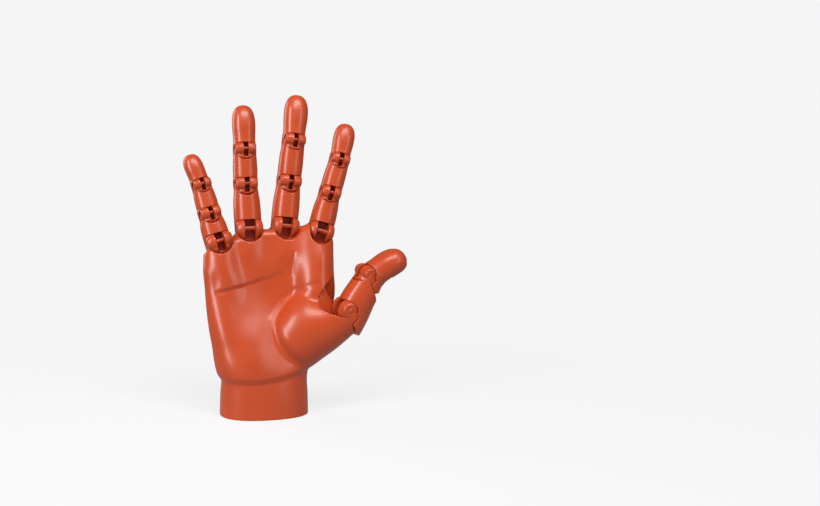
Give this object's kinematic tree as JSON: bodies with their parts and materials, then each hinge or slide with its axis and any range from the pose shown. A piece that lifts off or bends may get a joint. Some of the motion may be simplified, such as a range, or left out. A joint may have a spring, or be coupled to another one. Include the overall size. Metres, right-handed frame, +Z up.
{
  "type": "prosthetic hand",
  "caption": "Articulated right prosthetic hand: fingers and thumb of printed phalanges on cross pins, a one-piece palm shell and a threaded wrist plate.",
  "frame": {"origin": "centre of the flat wrist face, on the axis of the wrist thread", "axes": "+Z up the hand to the fingertips, palm towards -Y, thumb on the +X side"},
  "size_m": [0.1361, 0.0589, 0.2089],
  "materials": {
    "printed_shell": "satin orange-red printed plastic with fine layer lines",
    "printed_pins": "satin orange-red plastic rod",
    "wrist_fittings": "satin orange-red printed plastic",
    "brass_insert": "turned brass",
    "steel_screws": "plain steel"
  },
  "bodies": {
    "palm": {"palm_shell": "printed_shell", "wrist_plate": "wrist_fittings", "wrist_thread_insert": "brass_insert", "wrist_screws": "steel_screws"},
    "index_proximal": {"index_proximal": "printed_shell", "index_knuckle_pin": "printed_pins"},
    "index_middle": {"index_middle": "printed_shell", "index_middle_joint_pin": "printed_pins"},
    "index_distal": {"index_distal": "printed_shell", "index_end_joint_pin": "printed_pins", "index_cord_anchor": "printed_pins"},
    "middle_proximal": {"middle_proximal": "printed_shell", "middle_knuckle_pin": "printed_pins"},
    "middle_middle": {"middle_middle": "printed_shell", "middle_middle_joint_pin": "printed_pins"},
    "middle_distal": {"middle_distal": "printed_shell", "middle_end_joint_pin": "printed_pins", "middle_cord_anchor": "printed_pins"},
    "ring_proximal": {"ring_proximal": "printed_shell", "ring_knuckle_pin": "printed_pins"},
    "ring_middle": {"ring_middle": "printed_shell", "ring_middle_joint_pin": "printed_pins"},
    "ring_distal": {"ring_distal": "printed_shell", "ring_end_joint_pin": "printed_pins", "ring_cord_anchor": "printed_pins"},
    "little_proximal": {"little_proximal": "printed_shell", "little_knuckle_pin": "printed_pins"},
    "little_middle": {"little_middle": "printed_shell", "little_middle_joint_pin": "printed_pins"},
    "little_distal": {"little_distal": "printed_shell", "little_end_joint_pin": "printed_pins", "little_cord_anchor": "printed_pins"},
    "thumb_proximal": {"thumb_proximal": "printed_shell", "thumb_knuckle_pin": "printed_pins"},
    "thumb_distal": {"thumb_distal": "printed_shell", "thumb_end_joint_pin": "printed_pins", "thumb_cord_anchor": "printed_pins"}
  },
  "joints": [
    {"name": "index_knuckle", "type": "hinge", "parent": "palm", "child": "index_proximal", "pos_m": [0.0376, -0.006, 0.1203], "axis": [0.9649, -0.1392, -0.2228], "range_deg": [0, 80]},
    {"name": "index_middle_joint", "type": "hinge", "parent": "index_proximal", "child": "index_middle", "pos_m": [0.04337, -0.00901, 0.14568], "axis": [0.9649, -0.1392, -0.2228], "range_deg": [0, 90]},
    {"name": "index_end_joint", "type": "hinge", "parent": "index_middle", "child": "index_distal", "pos_m": [0.04965, -0.01001, 0.16758], "axis": [0.9649, -0.1392, -0.2228], "range_deg": [0, 60]},
    {"name": "middle_knuckle", "type": "hinge", "parent": "palm", "child": "middle_proximal", "pos_m": [0.0148, -0.0005, 0.1237], "axis": [0.9966, -0.0175, -0.0802], "range_deg": [0, 80]},
    {"name": "middle_middle_joint", "type": "hinge", "parent": "middle_proximal", "child": "middle_middle", "pos_m": [0.01711, -0.00349, 0.15306], "axis": [0.9966, -0.0175, -0.0802], "range_deg": [0, 90]},
    {"name": "middle_end_joint", "type": "hinge", "parent": "middle_middle", "child": "middle_distal", "pos_m": [0.01944, -0.00649, 0.17969], "axis": [0.9966, -0.0175, -0.0802], "range_deg": [0, 60]},
    {"name": "ring_knuckle", "type": "hinge", "parent": "palm", "child": "ring_proximal", "pos_m": [-0.0096, 0.001, 0.1219], "axis": [0.9962, -0.0698, 0.0522], "range_deg": [0, 80]},
    {"name": "ring_middle_joint", "type": "hinge", "parent": "ring_proximal", "child": "ring_middle", "pos_m": [-0.01169, -0.00002, 0.15111], "axis": [0.9962, -0.0698, 0.0522], "range_deg": [0, 90]},
    {"name": "ring_end_joint", "type": "hinge", "parent": "ring_middle", "child": "ring_distal", "pos_m": [-0.01279, -0.00202, 0.17349], "axis": [0.9962, -0.0698, 0.0522], "range_deg": [0, 60]},
    {"name": "little_knuckle", "type": "hinge", "parent": "palm", "child": "little_proximal", "pos_m": [-0.0302, -0.002, 0.1136], "axis": [0.9575, 0.0523, 0.2836], "range_deg": [0, 80]},
    {"name": "little_middle_joint", "type": "hinge", "parent": "little_proximal", "child": "little_middle", "pos_m": [-0.03548, -0.00034, 0.13188], "axis": [0.9575, 0.0523, 0.2836], "range_deg": [0, 90]},
    {"name": "little_end_joint", "type": "hinge", "parent": "little_middle", "child": "little_distal", "pos_m": [-0.04061, 0.00152, 0.1505], "axis": [0.9575, 0.0523, 0.2836], "range_deg": [0, 60]},
    {"name": "thumb_knuckle", "type": "hinge", "parent": "palm", "child": "thumb_proximal", "pos_m": [0.0474, -0.0249, 0.071], "axis": [0.1005, -0.9744, -0.2009], "range_deg": [0, 25]},
    {"name": "thumb_end_joint", "type": "hinge", "parent": "thumb_proximal", "child": "thumb_distal", "pos_m": [0.05955, -0.02833, 0.09373], "axis": [0.1005, -0.9744, -0.2009], "range_deg": [0, 50]}
  ]
}
